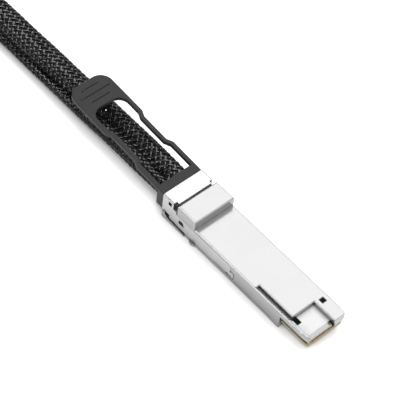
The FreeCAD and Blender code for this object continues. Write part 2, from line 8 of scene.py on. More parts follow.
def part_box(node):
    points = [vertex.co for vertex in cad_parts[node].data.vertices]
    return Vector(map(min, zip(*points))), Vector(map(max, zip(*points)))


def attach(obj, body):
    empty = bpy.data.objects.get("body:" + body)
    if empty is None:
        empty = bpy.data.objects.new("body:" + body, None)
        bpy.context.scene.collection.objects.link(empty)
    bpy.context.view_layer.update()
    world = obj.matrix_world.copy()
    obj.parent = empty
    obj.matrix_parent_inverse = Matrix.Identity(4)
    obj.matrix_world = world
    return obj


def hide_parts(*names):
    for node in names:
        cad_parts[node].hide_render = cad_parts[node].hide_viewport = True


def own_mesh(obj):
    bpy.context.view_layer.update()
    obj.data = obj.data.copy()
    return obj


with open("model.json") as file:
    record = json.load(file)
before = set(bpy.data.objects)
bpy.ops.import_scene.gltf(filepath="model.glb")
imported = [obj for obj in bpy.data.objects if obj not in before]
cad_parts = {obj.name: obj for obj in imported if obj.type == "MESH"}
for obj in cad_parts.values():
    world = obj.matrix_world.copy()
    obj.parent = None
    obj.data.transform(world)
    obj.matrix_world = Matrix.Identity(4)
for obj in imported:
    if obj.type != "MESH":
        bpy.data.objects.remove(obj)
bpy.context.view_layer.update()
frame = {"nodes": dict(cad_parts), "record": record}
mm = 0.001
print("frame loaded:", len(frame["nodes"]), "nodes")

# camera
cameraSet = {
    "lookAt": (-8.708, 5.883, 0.0),
    "azimuth": -48.371,      # towards the camera, from +X
    "elevation": 52.774,
    "distance": 681.39,
    "roll": 8.462,
    "lens": 163.97,
    "sensor": 36.0,
    "seesFrom": 0.01,        # nearest and farthest metres in view
    "seesTo": 20.0,
}


def addCamera(s):
    az, el, roll = (math.radians(s[k]) for k in ("azimuth", "elevation", "roll"))
    back = Vector((math.cos(el) * math.cos(az), math.cos(el) * math.sin(az), math.sin(el)))
    right = Vector((-math.sin(az), math.cos(az), 0.0))
    up = back.cross(right)
    rolledRight = right * math.cos(roll) + up * math.sin(roll)
    rolledUp = up * math.cos(roll) - right * math.sin(roll)
    data = bpy.data.cameras.new("camera")
    data.lens = s["lens"]
    data.sensor_width = s["sensor"]
    data.clip_start, data.clip_end = s["seesFrom"], s["seesTo"]
    cam = bpy.data.objects.new("camera", data)
    bpy.context.scene.collection.objects.link(cam)
    place = (Vector(s["lookAt"]) + back * s["distance"]) * mm
    turn = Matrix((rolledRight, rolledUp, back)).transposed()
    cam.matrix_world = Matrix.Translation(place) @ turn.to_4x4()
    bpy.context.scene.camera = cam


addCamera(cameraSet)


# shader nodes, where a value is a number, a colour or a (node, output) pair
def feed(tree, value, target, entry):
    if isinstance(value, tuple) and len(value) == 2:
        tree.links.new(value[0].outputs[value[1]], target.inputs[entry])
    elif value is not None:
        target.inputs[entry].default_value = value


def mathNode(tree, operation, first, second=None, third=None, clamp=False):
    node = tree.nodes.new("ShaderNodeMath")
    node.operation, node.use_clamp = operation, clamp
    for place, value in enumerate((first, second, third)):
        feed(tree, value, node, place)
    return (node, 0)


def mapRange(tree, value, start, end, low, high, kind="LINEAR"):
    node = tree.nodes.new("ShaderNodeMapRange")
    node.interpolation_type = kind
    for entry, number in (("From Min", start), ("From Max", end), ("To Min", low), ("To Max", high)):
        node.inputs[entry].default_value = number
    feed(tree, value, node, "Value")
    return (node, 0)


def parted(tree, value):
    # its x, y and z are outputs 0, 1 and 2
    node = tree.nodes.new("ShaderNodeSeparateXYZ")
    feed(tree, value, node, 0)
    return node


def scaled(tree, colour, amount):
    node = tree.nodes.new("ShaderNodeVectorMath")
    node.operation = "SCALE"
    feed(tree, colour, node, 0)
    feed(tree, amount, node, "Scale")
    return (node, 0)


def mixColour(tree, factor, first, second):
    mix = tree.nodes.new("ShaderNodeMix")
    mix.data_type = "RGBA"
    feed(tree, factor, mix, "Factor")
    feed(tree, first, mix, 6)        # sockets 6, 7 and output 2 are the colour ones
    feed(tree, second, mix, 7)
    return (mix, 2)


def noiseNode(tree, scale, detail, rough, stretch=None):
    where = (tree.nodes.new("ShaderNodeTexCoord"), "Object")
    noise = tree.nodes.new("ShaderNodeTexNoise")
    feed(tree, scale, noise, "Scale")
    feed(tree, detail, noise, "Detail")
    feed(tree, rough, noise, "Roughness")
    if stretch:
        pull = tree.nodes.new("ShaderNodeMapping")
        feed(tree, stretch, pull, "Scale")
        feed(tree, where, pull, "Vector")
        where = (pull, 0)
    feed(tree, where, noise, "Vector")
    return (noise, 0)


# light: where each lamp hangs, how far from the aim, its side and what a mirror would show of it
lampSet = {
    "panel": {"where": (-0.36, 0.46, 0.81), "away": 0.90, "size": 0.66, "glow": 2.50},
    "card": {"where": (-0.38, -0.72, 0.55), "away": 0.80, "size": 0.28, "glow": 4.00},
    "fill": {"where": (0.44, 0.42, 0.79), "away": 0.90, "size": 0.50, "glow": 1.75},
    "rim": {"where": (0.82, 0.42, 0.38), "away": 0.80, "size": 0.45, "glow": 1.30},
    "spark": {"where": (0.30, -0.30, 0.90), "away": 0.90, "size": 0.12, "glow": 54.0},
    "glint": {"where": (0.02, -0.80, 0.55), "away": 0.90, "size": 0.10, "glow": 50.0},
}
lampAim = (0.01, 0.0, 0.0)
skySet = {
    "low": 0.20,             # at the horizon
    "high": 0.35,            # overhead
    "band": (0.25, 0.95),    # where it changes, as a share of the way up
}


def addLamp(name, s, aim):
    data = bpy.data.lights.new(name, "AREA")
    data.shape = "SQUARE"
    data.size = s["size"]
    data.energy = s["glow"] * math.pi * s["size"] ** 2
    lamp = bpy.data.objects.new(name, data)
    bpy.context.scene.collection.objects.link(lamp)
    direction = Vector(s["where"]).normalized()
    lamp.location = aim + direction * s["away"]
    lamp.rotation_mode = "QUATERNION"
    lamp.rotation_quaternion = direction.to_track_quat("Z", "Y")


def addSky(s):
    world = bpy.data.worlds.new("studio")
    bpy.context.scene.world = world
    world.use_nodes = True
    tree = world.node_tree
    sky = tree.nodes["Background"]
    sky.inputs["Color"].default_value = (1.0, 1.0, 1.0, 1.0)
    up = parted(tree, (tree.nodes.new("ShaderNodeTexCoord"), "Generated"))
    rise = mapRange(tree, (up, 2), *s["band"], s["low"], s["high"], "SMOOTHSTEP")
    feed(tree, rise, sky, "Strength")


for name in lampSet:
    addLamp(name, lampSet[name], Vector(lampAim))
addSky(skySet)
bpy.context.scene.view_settings.view_transform = "Standard"

# floor
floorSet = {
    "colour": (0.66, 0.66, 0.66),
    "glow": 0.80,
    "roughness": 0.9,
    "reach": 3.0,
    "drop": 0.02,            # mm below the object
    "footShade": 0.006,      # how far from the object's foot its contact shadow reaches
    "footDepth": 1.9,
    "footSamples": 12,
}


def addFloor(s):
    reach = s["reach"]
    mesh = bpy.data.meshes.new("floor")
    mesh.from_pydata([(-reach, -reach, 0), (reach, -reach, 0), (reach, reach, 0), (-reach, reach, 0)], [],
                     [(0, 1, 2, 3)])
    mesh.update()
    floor = bpy.data.objects.new("floor", mesh)
    bpy.context.scene.collection.objects.link(floor)
    floor.location.z = -s["drop"] * mm
    material = bpy.data.materials.new("floor")
    material.use_nodes = True
    tree = material.node_tree
    shade = tree.nodes["Principled BSDF"]
    shade.inputs["Base Color"].default_value = (*s["colour"], 1.0)
    shade.inputs["Roughness"].default_value = s["roughness"]
    shade.inputs["Specular IOR Level"].default_value = 0.0
    # it glows only to rays that see it, and less beside the object's foot, where ambient occlusion paints a
    # contact shadow into the glow
    path = tree.nodes.new("ShaderNodeLightPath")
    seen = mathNode(tree, "MAXIMUM", (path, "Is Camera Ray"), (path, "Is Glossy Ray"))
    seen = mathNode(tree, "MAXIMUM", seen, (path, "Is Transmission Ray"))
    strength = mathNode(tree, "MULTIPLY", seen, s["glow"])
    foot = tree.nodes.new("ShaderNodeAmbientOcclusion")
    foot.samples = s["footSamples"]
    foot.inputs["Distance"].default_value = s["footShade"]
    deeper = mathNode(tree, "POWER", (foot, "AO"), s["footDepth"])
    glow = tree.nodes.new("ShaderNodeEmission")
    feed(tree, mathNode(tree, "MULTIPLY", strength, deeper), glow, "Strength")
    both = tree.nodes.new("ShaderNodeAddShader")
    feed(tree, (shade, 0), both, 0)
    feed(tree, (glow, 0), both, 1)
    feed(tree, (both, 0), tree.nodes["Material Output"], "Surface")
    floor.data.materials.append(material)


addFloor(floorSet)
print("camera, lamps and floor")


# finishes
def newGroup(name, inputs, outputs):
    group = bpy.data.node_groups.new(name, "ShaderNodeTree")
    for socket, kind, value in inputs:
        made = group.interface.new_socket(name=socket, in_out="INPUT", socket_type=kind)
        if value is not None:
            made.default_value = value
    for socket, kind in outputs:
        group.interface.new_socket(name=socket, in_out="OUTPUT", socket_type=kind)
    start, end = group.nodes.new("NodeGroupInput"), group.nodes.new("NodeGroupOutput")
    return group, start, end


groupSet = {
    "cloudDetail": (3.0, 0.55),
    "edgeSamples": 6,
    "edgeGain": 6.0,         # how soon a turned normal counts as an edge
    "edgePatches": (700.0, 3.0, 0.6),
    "patchGain": 2.6,
    "patchFloor": -0.8,
    "grainDetail": (3.0, 0.6),
    "coarseShare": 0.12,     # the coarse grain's scale, as a share of the fine grain's
    "coarseDetail": (2.0, 0.5),
    "lineDetail": (4.0, 0.65),
    "lineStretch": (90.0, 6000.0, 6000.0),
    "cornerSamples": 8,
    "cornerGain": 1.6,
}


def makeCloudGroup(s):
    # slow drifts of tone and gloss over a plated or painted skin
    group, start, end = newGroup("skinClouds", [
        ("Colour", "NodeSocketColor", (0.8, 0.8, 0.8, 1.0)), ("Size", "NodeSocketFloat", 90.0),
        ("Amount", "NodeSocketFloat", 0.05), ("Gloss Drift", "NodeSocketFloat", 0.05),
        ("Roughness", "NodeSocketFloat", 0.3),
    ], [("Colour", "NodeSocketColor"), ("Roughness", "NodeSocketFloat")])
    slow = noiseNode(group, (start, "Size"), *s["cloudDetail"])
    drift = mathNode(group, "MULTIPLY_ADD", slow, 2.0, -1.0)
    tone = mathNode(group, "MULTIPLY_ADD", drift, (start, "Amount"), 1.0)
    gloss = mathNode(group, "MULTIPLY_ADD", drift, (start, "Gloss Drift"), (start, "Roughness"), clamp=True)
    feed(group, scaled(group, (start, "Colour"), tone), end, "Colour")
    feed(group, gloss, end, "Roughness")
    return group


def makeEdgeGroup(s):
    # rounds the edges for the light and recolours them: paler worn edges on the bare metals and the sheet, a
    # painted dark line along the plating's edges and a painted highlight along the tab's
    group, start, end = newGroup("wornAndPaintedEdges", [
        ("Colour", "NodeSocketColor", (0.8, 0.8, 0.8, 1.0)), ("Edge Colour", "NodeSocketColor", (1, 1, 1, 1)),
        ("Amount", "NodeSocketFloat", 0.3), ("Radius", "NodeSocketFloat", 0.00014),
    ], [("Colour", "NodeSocketColor"), ("Normal", "NodeSocketVector")])
    rounded = group.nodes.new("ShaderNodeBevel")
    rounded.samples = s["edgeSamples"]
    feed(group, (start, "Radius"), rounded, "Radius")
    dot = group.nodes.new("ShaderNodeVectorMath")
    dot.operation = "DOT_PRODUCT"
    feed(group, (rounded, 0), dot, 0)
    feed(group, (group.nodes.new("ShaderNodeNewGeometry"), "Normal"), dot, 1)
    bend = mathNode(group, "MULTIPLY_ADD", (dot, "Value"), -s["edgeGain"], s["edgeGain"], clamp=True)
    patchy = noiseNode(group, *s["edgePatches"])
    patches = mathNode(group, "MULTIPLY_ADD", patchy, s["patchGain"], s["patchFloor"], clamp=True)
    share = mathNode(group, "MULTIPLY", mathNode(group, "MULTIPLY", bend, patches), (start, "Amount"))
    feed(group, mixColour(group, share, (start, "Colour"), (start, "Edge Colour")), end, "Colour")
    feed(group, (rounded, 0), end, "Normal")
    return group


def makeGrainGroup(s):
    # an even fine texture: cast skin, spark-eroded mould, blasted metal
    group, start, end = newGroup("fineGrain", [
        ("Scale", "NodeSocketFloat", 2500.0), ("Coarse", "NodeSocketFloat", 0.35),
    ], [("Height", "NodeSocketFloat")])
    fine = noiseNode(group, (start, "Scale"), *s["grainDetail"])
    lump = mathNode(group, "MULTIPLY", (start, "Scale"), s["coarseShare"])
    coarse = noiseNode(group, lump, *s["coarseDetail"])
    feed(group, mathNode(group, "MULTIPLY_ADD", coarse, (start, "Coarse"), fine), end, "Height")
    return group


def makeBrushGroup(s):
    # long fine scratches along the sheet's rolling direction
    group, start, end = newGroup("rollingLines", [
        ("Amount", "NodeSocketFloat", 0.05), ("Roughness", "NodeSocketFloat", 0.25),
    ], [("Height", "NodeSocketFloat"), ("Roughness", "NodeSocketFloat")])
    lines = noiseNode(group, 1.0, *s["lineDetail"], stretch=s["lineStretch"])
    swing = mathNode(group, "MULTIPLY_ADD", lines, 2.0, -1.0)
    rough = mathNode(group, "MULTIPLY_ADD", swing, (start, "Amount"), (start, "Roughness"), clamp=True)
    feed(group, lines, end, "Height")
    feed(group, rough, end, "Roughness")
    return group


def makeCornerShadeGroup(s):
    # painted shade: darkens inside corners and narrow gaps by their ambient occlusion
    group, start, end = newGroup("paintedCornerShade", [
        ("Colour", "NodeSocketColor", (0.8, 0.8, 0.8, 1.0)), ("Painted Shade", "NodeSocketFloat", 0.3),
        ("Reach", "NodeSocketFloat", 0.0007),
    ], [("Colour", "NodeSocketColor"), ("Corner", "NodeSocketFloat")])
    hidden = group.nodes.new("ShaderNodeAmbientOcclusion")
    hidden.samples = s["cornerSamples"]
    feed(group, (start, "Reach"), hidden, "Distance")
    corner = mathNode(group, "MULTIPLY_ADD", (hidden, "AO"), -s["cornerGain"], s["cornerGain"], clamp=True)
    share = mathNode(group, "MULTIPLY", corner, (start, "Painted Shade"))
    keep = mathNode(group, "SUBTRACT", 1.0, share, clamp=True)
    feed(group, scaled(group, (start, "Colour"), keep), end, "Colour")
    feed(group, corner, end, "Corner")
    return group


cloudGroup, edgeGroup, cornerShadeGroup = makeCloudGroup(groupSet), makeEdgeGroup(groupSet), makeCornerShadeGroup(groupSet)
grainGroup, brushGroup = makeGrainGroup(groupSet), makeBrushGroup(groupSet)


def newMaterial(name, plain):
    # a Principled shader with its plain values set on its own sockets
    material = bpy.data.materials.new(name)
    material.use_nodes = True
    shade = material.node_tree.nodes["Principled BSDF"]
    for socket, value in plain.items():
        shade.inputs[socket].default_value = value
    return material, material.node_tree, shade


def placeGroup(tree, group, values):
    node = tree.nodes.new("ShaderNodeGroup")
    node.node_tree = group
    for socket, value in values.items():
        feed(tree, value, node, socket)
    return node


def bumpInto(tree, shade, height, depth, strength, normal=None):
    bump = tree.nodes.new("ShaderNodeBump")
    for entry, value in (("Distance", depth), ("Strength", strength), ("Height", height), ("Normal", normal)):
        feed(tree, value, bump, entry)
    feed(tree, (bump, 0), shade, "Normal")


# castings: satin nickel plating with faint drifts and a fine cast skin under it
platingSet = {
    "colour": (0.330, 0.330, 0.330, 1.0),
    # edgeTone darkens the plating's edges: a painted dark line along them
    "edgeTone": (0.09, 0.09, 0.09, 1.0),
    "edgeShare": 0.9,
    "edgeRadius": 0.00034,
    # strength of the painted shade in the plating's inside corners and gaps
    "corners": 0.50,
    "panelColour": (0.70, 0.70, 0.70, 1.0),    # the blasted floor of the recess in the nose
    "roughness": 0.20,
    "cloudSize": 75.0,
    "clouds": 0.07,
    "glossDrift": 0.06,
    "metallic": 0.92,
    "panelMetallic": 0.12,
    "panelRougher": 0.30,
    "panelLevel": (0.5, 0.012),      # the recess floor's height and its band, as shares of the casting's
    "panelAhead": 0.86,              # share of the length from which it lies
    "faceUp": 0.98,
    "grain": 5200.0,
    "grainDepth": 0.000006,
    "grainStrength": 0.35,
}


def makePlating(s):
    material, tree, shade = newMaterial("satinNickelPlating", {"Metallic": s["metallic"]})
    clouds = placeGroup(tree, cloudGroup, {
        "Colour": s["colour"], "Size": s["cloudSize"], "Amount": s["clouds"],
        "Gloss Drift": s["glossDrift"], "Roughness": s["roughness"]})
    # the edges take edgeTone, a painted dark line, and are rounded for the light
    edges = placeGroup(tree, edgeGroup, {"Colour": (clouds, "Colour"), "Edge Colour": s["edgeTone"],
                                         "Amount": s["edgeShare"], "Radius": s["edgeRadius"]})
    # the recess floor is blasted, not polished before plating
    split = parted(tree, (tree.nodes.new("ShaderNodeTexCoord"), "Generated"))
    way = parted(tree, (tree.nodes.new("ShaderNodeNewGeometry"), "True Normal"))
    level = mathNode(tree, "COMPARE", (split, 2), *s["panelLevel"])
    ahead = mathNode(tree, "GREATER_THAN", (split, 0), s["panelAhead"])
    upward = mathNode(tree, "GREATER_THAN", (way, 2), s["faceUp"])
    blasted = mathNode(tree, "MULTIPLY", mathNode(tree, "MULTIPLY", level, ahead), upward)
    colour = mixColour(tree, blasted, (edges, "Colour"), s["panelColour"])
    # painted shade: inside corners and gaps darkened by their ambient occlusion
    corners = placeGroup(tree, cornerShadeGroup, {"Colour": colour, "Painted Shade": s["corners"]})
    feed(tree, (corners, "Colour"), shade, "Base Color")
    polish = mathNode(tree, "MULTIPLY_ADD", blasted, s["panelMetallic"] - s["metallic"], s["metallic"])
    feed(tree, polish, shade, "Metallic")
    rough = mathNode(tree, "MULTIPLY_ADD", blasted, s["panelRougher"], (clouds, "Roughness"), clamp=True)
    feed(tree, rough, shade, "Roughness")
    grain = placeGroup(tree, grainGroup, {"Scale": s["grain"], "Coarse": 0.5})
    bumpInto(tree, shade, (grain, "Height"), s["grainDepth"], s["grainStrength"], (edges, "Normal"))
    return material


# slider: bent stainless sheet, rolled finish
sheetSet = {
    "colour": (0.45, 0.45, 0.45, 1.0),
    "edgeColour": (0.60, 0.60, 0.59, 1.0),
    "edgeAmount": 0.6,
    "roughness": 0.34,
    "lines": 0.05,
    "lineDepth": 0.000002,
    "lineStrength": 0.3,
}


def makeSheet(s):
    material, tree, shade = newMaterial("rolledStainless", {"Metallic": 1.0})
    clouds = placeGroup(tree, cloudGroup, {"Colour": s["colour"], "Size": 60.0, "Amount": 0.03,
                                           "Gloss Drift": 0.0, "Roughness": s["roughness"]})
    edges = placeGroup(tree, edgeGroup, {"Colour": (clouds, "Colour"), "Edge Colour": s["edgeColour"],
                                         "Amount": s["edgeAmount"], "Radius": 0.00005})
    lines = placeGroup(tree, brushGroup, {"Amount": s["lines"], "Roughness": s["roughness"]})
    # painted shade: the sheet's corners and gaps darkened by their ambient occlusion
    corners = placeGroup(tree, cornerShadeGroup, {"Colour": (edges, "Colour"), "Painted Shade": 0.6, "Reach": 0.0005})
    feed(tree, (corners, "Colour"), shade, "Base Color")
    feed(tree, (lines, "Roughness"), shade, "Roughness")
    bumpInto(tree, shade, (lines, "Height"), s["lineDepth"], s["lineStrength"], (edges, "Normal"))
    return material


# pull tab: moulded plastic with a spark-eroded grain, paler along its edges, partly wear and partly a painted
# highlight
tabSet = {
    "colour": (0.0225, 0.0225, 0.023, 1.0),
    "edgeColour": (0.120, 0.120, 0.121, 1.0),
    "edgeAmount": 0.8,
    "roughness": 0.56,
    "grain": 4200.0,
    "grainDepth": 0.00001,
    "grainStrength": 0.5,
}


def makeTabPlastic(s):
    material, tree, shade = newMaterial("mouldedTab", {"Specular IOR Level": 0.35})
    clouds = placeGroup(tree, cloudGroup, {"Colour": s["colour"], "Size": 160.0, "Amount": 0.06,
                                           "Gloss Drift": 0.06, "Roughness": s["roughness"]})
    # the paler edge colour is partly a painted highlight along the tab's rims
    edges = placeGroup(tree, edgeGroup, {"Colour": (clouds, "Colour"), "Edge Colour": s["edgeColour"],
                                         "Amount": s["edgeAmount"], "Radius": 0.00018})
    # painted shade: the tab's inner walls and corners darkened by their ambient occlusion
    corners = placeGroup(tree, cornerShadeGroup, {"Colour": (edges, "Colour"), "Painted Shade": 0.7, "Reach": 0.0012})
    grain = placeGroup(tree, grainGroup, {"Scale": s["grain"], "Coarse": 0.3})
    feed(tree, (corners, "Colour"), shade, "Base Color")
    feed(tree, (clouds, "Roughness"), shade, "Roughness")
    bumpInto(tree, shade, (grain, "Height"), s["grainDepth"], s["grainStrength"], (edges, "Normal"))
    return material


# sleeve: glossy round filaments, each with its own depth of black
filamentSet = {
    "colour": (0.0045, 0.0045, 0.005, 1.0),
    "paler": (0.012, 0.012, 0.013, 1.0),
    "roughness": 0.20,
    "gloss": 1.00,
    "dulls": (0.20, 0.41),       # facing values between which the gloss fades at glancing angles: painted shade on the sleeve's edges
    "flanks": (0.5, 0.95),       # normal's z between which the gloss falls off, down the sides
    "flankGloss": 0.25,
    "cornerLoss": 0.9,
    "patches": (260.0, 3.0, 0.6),
    "patchGain": 3.0,
    "patchFloor": -1.3,
    "grainDepth": 0.00002,
    "grainStrength": 0.25,
    "coreColour": (0.004, 0.004, 0.0045, 1.0),
    "coreDepth": 0.00004,
    "coreStrength": 0.5,
}


def makeFilament(s):
    material, tree, shade = newMaterial("blackFilament", {
        "Specular IOR Level": 0.08, "Coat IOR": 1.72, "Coat Roughness": 0.15})
    clouds = placeGroup(tree, cloudGroup, {"Colour": s["colour"], "Size": 900.0, "Amount": 0.5,
                                           "Gloss Drift": 0.16, "Roughness": s["roughness"]})
    share = mathNode(tree, "MULTIPLY_ADD", noiseNode(tree, *s["patches"]), s["patchGain"], s["patchFloor"],
                     clamp=True)
    colour = mixColour(tree, share, (clouds, "Colour"), s["paler"])
    # painted shade: creases and gaps between strands darkened by their ambient occlusion, which also takes the
    # coat away there
    corners = placeGroup(tree, cornerShadeGroup, {"Colour": colour, "Painted Shade": 0.8, "Reach": 0.0013})
    # the coat fades at glancing angles and down the flanks: painted shade on the sleeve's edges and sides
    tilt = tree.nodes.new("ShaderNodeLayerWeight")
    tilt.inputs["Blend"].default_value = 0.5
    dull = mapRange(tree, (tilt, "Facing"), *s["dulls"], s["gloss"], 0.0)
    way = parted(tree, (tree.nodes.new("ShaderNodeNewGeometry"), "Normal"))
    upper = mapRange(tree, (way, 2), *s["flanks"], s["flankGloss"], 1.0)
    bare = mathNode(tree, "MULTIPLY_ADD", (corners, "Corner"), -s["cornerLoss"], 1.0, clamp=True)
    coat = mathNode(tree, "MULTIPLY", mathNode(tree, "MULTIPLY", dull, bare), upper)
    feed(tree, coat, shade, "Coat Weight")
    feed(tree, (corners, "Colour"), shade, "Base Color")
    feed(tree, (clouds, "Roughness"), shade, "Roughness")
    grain = placeGroup(tree, grainGroup, {"Scale": 3000.0, "Coarse": 0.6})
    bumpInto(tree, shade, (grain, "Height"), s["grainDepth"], s["grainStrength"])
    return material


def makeSleeveCore(s):
    material, tree, shade = newMaterial("sleeveShadow", {"Specular IOR Level": 0.2})
    clouds = placeGroup(tree, cloudGroup, {"Colour": s["coreColour"], "Size": 500.0, "Amount": 0.4,
                                           "Gloss Drift": 0.1, "Roughness": 0.6})
    feed(tree, (clouds, "Colour"), shade, "Base Color")
    feed(tree, (clouds, "Roughness"), shade, "Roughness")
    grain = placeGroup(tree, grainGroup, {"Scale": 2500.0})
    bumpInto(tree, shade, (grain, "Height"), s["coreDepth"], s["coreStrength"])
    return material


# card: green mask over glass laminate, whose cut edges show its layers
cardSet = {
    "mask": (0.014, 0.034, 0.020, 1.0),
    "traces": (0.022, 0.056, 0.032, 1.0),
    "edge": (0.45, 0.36, 0.165, 1.0),
    "layer": (0.045, 0.075, 0.030, 1.0),
    "front": (0.52, 0.34, 0.24, 1.0),
    "layerPitch": 0.00034,
    "layerLine": 0.22,       # a layer line's share of the pitch
    "bareFront": 0.972,      # share of the length from which the faces are bare laminate
    "tracks": {"Scale": 900.0, "Mortar Size": 0.12, "Brick Width": 6.0, "Row Height": 0.36},
    "glass": (1.0, 3.0, 0.6),
    "glassStretch": (2600.0, 2600.0, 9000.0),
    "glassTone": (0.5, 0.75),
    "cutRoughness": 0.62,
    "faceRoughness": 0.32,
    "depth": 0.00001,
    "strength": 0.4,
}


def makeCard(s):
    material, tree, shade = newMaterial("cardLaminate", {"Specular IOR Level": 0.5})
    where = tree.nodes.new("ShaderNodeTexCoord")
    way = parted(tree, (tree.nodes.new("ShaderNodeNewGeometry"), "Normal"))
    split, share = parted(tree, (where, "Object")), parted(tree, (where, "Generated"))
    flat = mathNode(tree, "COMPARE", mathNode(tree, "ABSOLUTE", (way, 2)), 1.0, 0.1)
    toFront = mathNode(tree, "GREATER_THAN", (way, 0), 0.9)
    # fine tracks under the mask, bare laminate at the front
    tracks = tree.nodes.new("ShaderNodeTexBrick")
    for entry, value in s["tracks"].items():
        tracks.inputs[entry].default_value = value
    for entry, colour in (("Color1", "traces"), ("Color2", "mask"), ("Mortar", "mask")):
        tracks.inputs[entry].default_value = s[colour]
    feed(tree, (where, "Object"), tracks, "Vector")
    bare = mathNode(tree, "GREATER_THAN", (share, 0), s["bareFront"])
    faces = mixColour(tree, bare, (tracks, 0), s["edge"])
    # layers and glass on the cut edges
    layers = mathNode(tree, "PINGPONG", (split, 2), s["layerPitch"])
    line = mathNode(tree, "LESS_THAN", layers, s["layerLine"] * s["layerPitch"])
    glass = noiseNode(tree, *s["glass"], stretch=s["glassStretch"])
    weave = mathNode(tree, "MULTIPLY_ADD", glass, *s["glassTone"])
    cut = mixColour(tree, toFront, mixColour(tree, line, s["edge"], s["layer"]), s["front"])
    feed(tree, mixColour(tree, flat, scaled(tree, cut, weave), faces), shade, "Base Color")
    rough = mathNode(tree, "MULTIPLY_ADD", flat, s["faceRoughness"] - s["cutRoughness"], s["cutRoughness"])
    feed(tree, rough, shade, "Roughness")
    bumpInto(tree, shade, glass, s["depth"], s["strength"])
    return material


# the other metals share one build, with their own colour, gloss and grain
metalSet = {
    "contactGold": {"colour": (0.90, 0.66, 0.27, 1.0), "roughness": 0.22, "clouds": 0.05, "grain": 6000.0},
    "zincedScrew": {"colour": (0.42, 0.42, 0.43, 1.0), "roughness": 0.32, "clouds": 0.12, "grain": 3000.0},
    "springWire": {"colour": (0.48, 0.48, 0.48, 1.0), "roughness": 0.25, "clouds": 0.08, "grain": 5000.0},
    "pairFoil": {"colour": (0.72, 0.73, 0.75, 1.0), "roughness": 0.28, "clouds": 0.15, "grain": 1500.0},
    "tinnedCopper": {"colour": (0.74, 0.52, 0.38, 1.0), "roughness": 0.35, "clouds": 0.15, "grain": 2500.0},
    "crimpedBrass": {"colour": (0.76, 0.62, 0.36, 1.0), "roughness": 0.3, "clouds": 0.12, "grain": 2200.0},
}


def makeMetal(name, s):
    material, tree, shade = newMaterial(name, {"Metallic": 1.0})
    clouds = placeGroup(tree, cloudGroup, {"Colour": s["colour"], "Size": 420.0, "Amount": s["clouds"],
                                           "Gloss Drift": 0.1, "Roughness": s["roughness"]})
    pale = tuple(min(1.0, 1.25 * v) for v in s["colour"][:3]) + (1.0,)
    edges = placeGroup(tree, edgeGroup, {"Colour": (clouds, "Colour"), "Edge Colour": pale, "Amount": 0.6,
                                         "Radius": 0.00004})
    grain = placeGroup(tree, grainGroup, {"Scale": s["grain"], "Coarse": 0.5})
    feed(tree, (edges, "Colour"), shade, "Base Color")
    feed(tree, (clouds, "Roughness"), shade, "Roughness")
    bumpInto(tree, shade, (grain, "Height"), depth=0.000008, strength=0.35, normal=(edges, "Normal"))
    return material


# plastics and ceramics inside
softSet = {
    "closedFoam": {"colour": (0.045, 0.045, 0.05, 1.0), "roughness": 0.9, "clouds": 0.25, "grain": 1800.0,
                   "depth": 0.00012, "shine": 0.2},
    "mouldedChip": {"colour": (0.018, 0.018, 0.02, 1.0), "roughness": 0.5, "clouds": 0.1, "grain": 5000.0,
                    "depth": 0.00001, "shine": 0.4},
    "firedCeramic": {"colour": (0.42, 0.33, 0.23, 1.0), "roughness": 0.35, "clouds": 0.12, "grain": 4000.0,
                     "depth": 0.000006, "shine": 0.5},
    "extrudedJacket": {"colour": (0.014, 0.014, 0.015, 1.0), "roughness": 0.45, "clouds": 0.15, "grain": 2600.0,
                       "depth": 0.00001, "shine": 0.45},
}


def makeSoft(name, s):
    material, tree, shade = newMaterial(name, {"Specular IOR Level": s["shine"]})
    clouds = placeGroup(tree, cloudGroup, {"Colour": s["colour"], "Size": 350.0, "Amount": s["clouds"],
                                           "Gloss Drift": 0.08, "Roughness": s["roughness"]})
    grain = placeGroup(tree, grainGroup, {"Scale": s["grain"], "Coarse": 0.4})
    feed(tree, (clouds, "Colour"), shade, "Base Color")
    feed(tree, (clouds, "Roughness"), shade, "Roughness")
    bumpInto(tree, shade, (grain, "Height"), s["depth"], strength=0.5)
    return material


finishes = {"shell_plating": makePlating(platingSet), "slider_steel": makeSheet(sheetSet),
            "tab_plastic": makeTabPlastic(tabSet), "card_laminate": makeCard(cardSet)}
for slotName, name in (("contact_gold", "contactGold"), ("screw_steel", "zincedScrew"),
                       ("spring_steel", "springWire"), ("pair_foil", "pairFoil"),
                       ("bar_copper", "tinnedCopper"), ("ferrule_brass", "crimpedBrass")):
    finishes[slotName] = makeMetal(name, metalSet[name])
for slotName, name in (("foam", "closedFoam"), ("chip_plastic", "mouldedChip"),
                       ("capacitor_ceramic", "firedCeramic"), ("cable_jacket", "extrudedJacket")):
    finishes[slotName] = makeSoft(name, softSet[name])
filament, sleeveCore = makeFilament(filamentSet), makeSleeveCore(filamentSet)
finishes["sleeve_braid"] = sleeveCore

for part in frame["record"]["subparts"]:
    for place in frame["nodes"][part["node"]].material_slots:
        place.material = finishes[part["material_slot"]]

